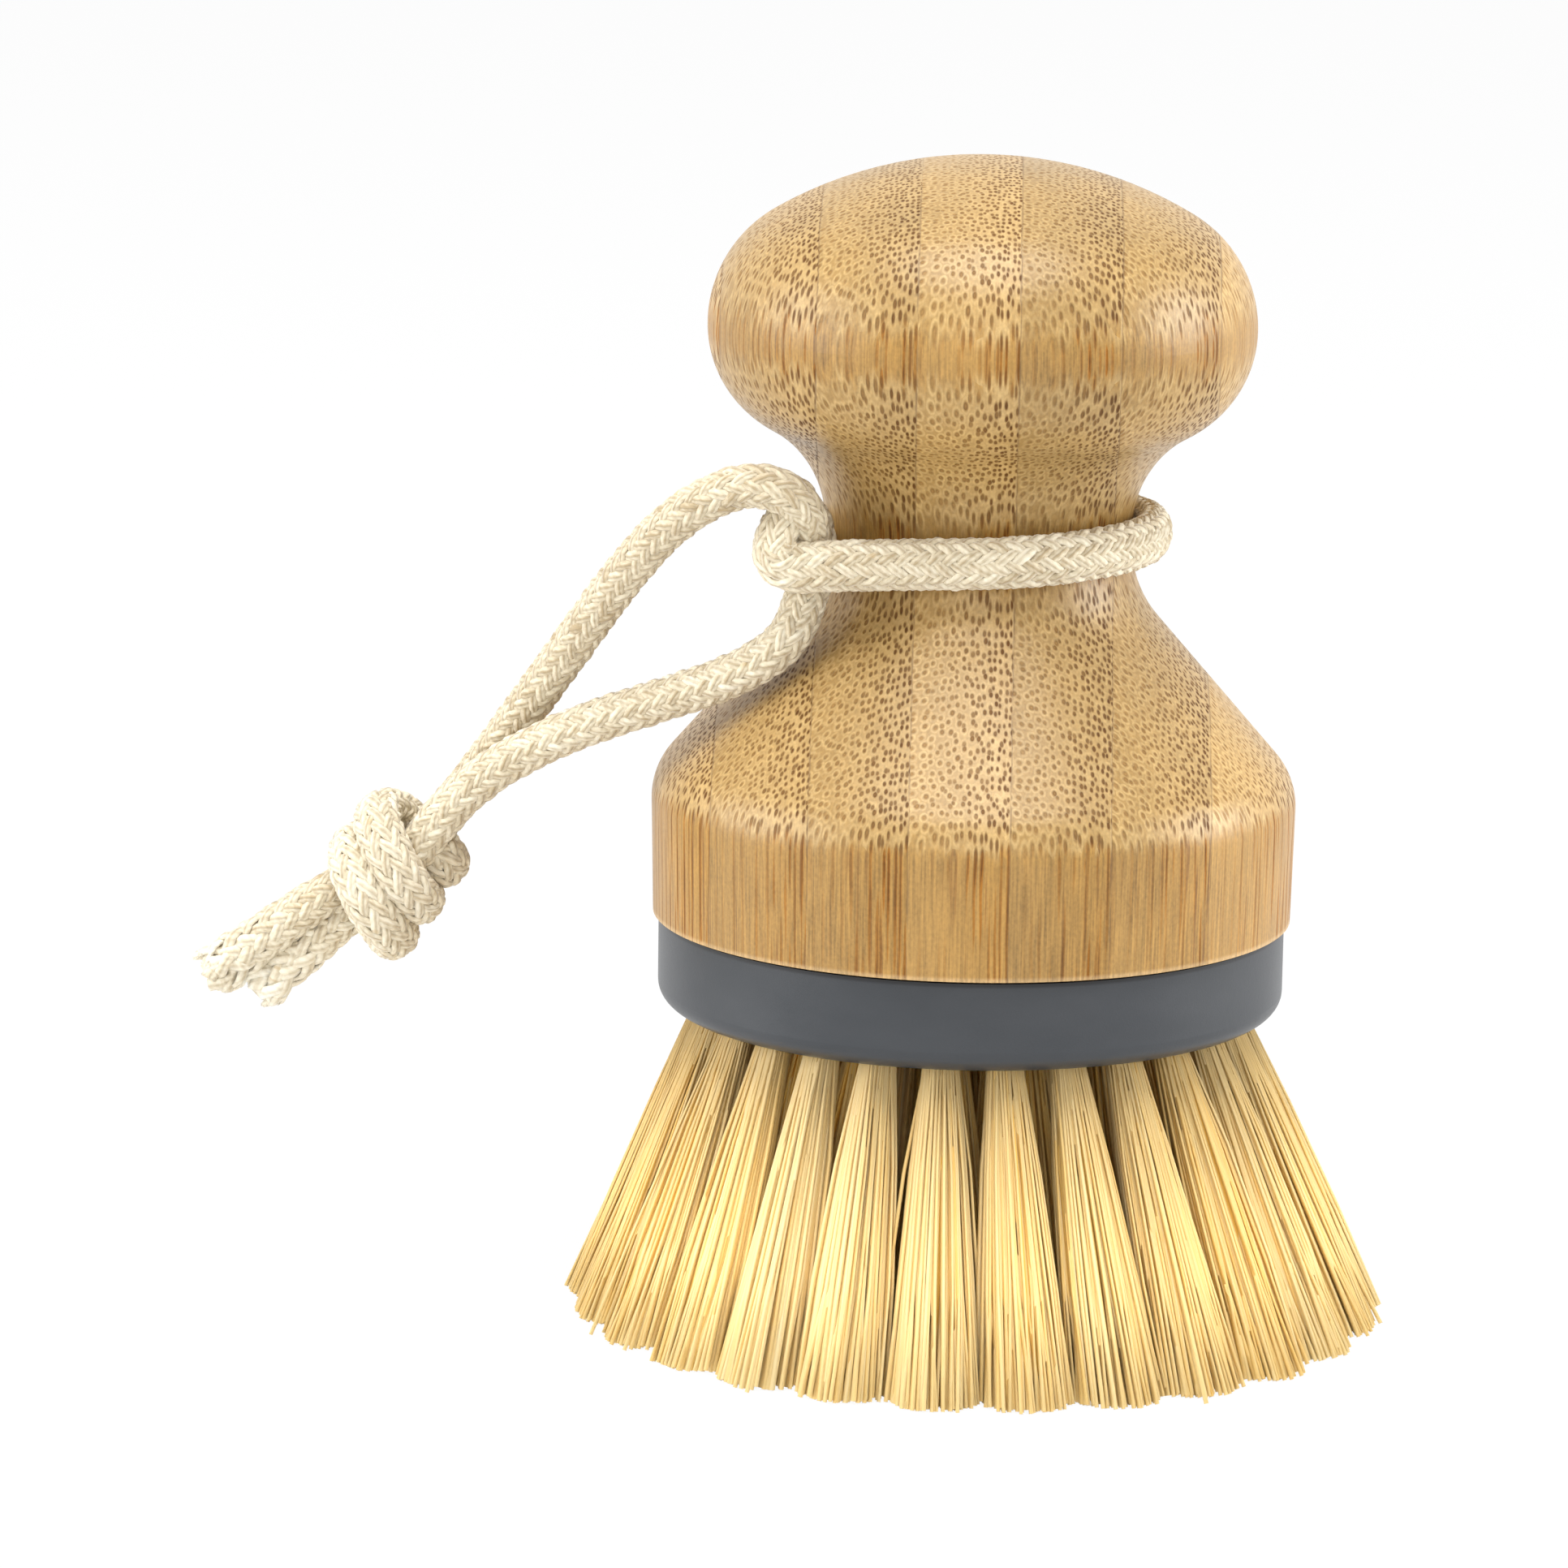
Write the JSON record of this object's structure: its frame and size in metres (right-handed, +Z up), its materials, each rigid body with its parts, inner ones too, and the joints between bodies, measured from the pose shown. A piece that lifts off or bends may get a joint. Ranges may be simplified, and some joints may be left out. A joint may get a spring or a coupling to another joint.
{
  "type": "dish brush",
  "caption": "Palm dish brush: a turned bamboo handle with a waist and domed knob, a push-on plastic head of flared bristle tufts and a knotted hanging cord.",
  "frame": {"origin": "middle of the plane of the bristle tips, where the brush stands", "axes": "+Z up the brush's axis towards the knob, -Y towards the picture's viewer, the cord's loop to -X"},
  "size_m": [0.1028, 0.0706, 0.0997],
  "materials": {
    "bamboo": "fine sanded, satin",
    "grey_plastic": "satin moulded",
    "bristle": "stiff cream fibre",
    "anchor_wire": "flat wire",
    "cotton_cord": "braided natural cotton"
  },
  "bodies": {
    "brush_head": {"brush_plate": "grey_plastic", "inner_tufts": "bristle", "middle_tuft_01": "bristle", "middle_tuft_02": "bristle", "middle_tuft_03": "bristle", "middle_tuft_04": "bristle", "middle_tuft_05": "bristle", "middle_tuft_06": "bristle", "middle_tuft_07": "bristle", "middle_tuft_08": "bristle", "middle_tuft_09": "bristle", "middle_tuft_10": "bristle", "middle_tuft_11": "bristle", "middle_tuft_12": "bristle", "middle_tuft_13": "bristle", "middle_tuft_14": "bristle", "outer_tuft_01": "bristle", "outer_tuft_02": "bristle", "outer_tuft_03": "bristle", "outer_tuft_04": "bristle", "outer_tuft_05": "bristle", "outer_tuft_06": "bristle", "outer_tuft_07": "bristle", "outer_tuft_08": "bristle", "outer_tuft_09": "bristle", "outer_tuft_10": "bristle", "outer_tuft_11": "bristle", "outer_tuft_12": "bristle", "outer_tuft_13": "bristle", "outer_tuft_14": "bristle", "outer_tuft_15": "bristle", "outer_tuft_16": "bristle", "outer_tuft_17": "bristle", "outer_tuft_18": "bristle", "outer_tuft_19": "bristle", "outer_tuft_20": "bristle", "outer_tuft_21": "bristle", "outer_tuft_22": "bristle", "outer_tuft_23": "bristle", "outer_tuft_24": "bristle", "outer_tuft_25": "bristle", "outer_tuft_26": "bristle", "plate_spigot": "grey_plastic", "tuft_anchors": "anchor_wire"},
    "handle": {"bamboo_strip_3": "bamboo", "bamboo_strip_4": "bamboo", "bamboo_strip_5": "bamboo", "bamboo_strip_6": "bamboo", "base_strip_1": "bamboo", "base_strip_2": "bamboo", "base_strip_7": "bamboo", "knob_strip_1": "bamboo", "knob_strip_2": "bamboo", "knob_strip_7": "bamboo"},
    "hanging_cord": {"cord_hitch": "cotton_cord", "cord_knot": "cotton_cord", "cord_lower_strand": "cotton_cord", "cord_neck_turn": "cotton_cord", "cord_tails": "cotton_cord", "cord_upper_strand": "cotton_cord"}
  },
  "joints": [
    {"name": "head_push_fit", "type": "slide", "parent": "brush_head", "child": "handle", "axis": [0, 0, 1], "range_m": [0, 0.0127]},
    {"name": "cord_swivel", "type": "hinge", "parent": "handle", "child": "hanging_cord", "pos_m": [0, 0, 0.0672], "axis": [0, 0, 1], "continuous": true}
  ]
}
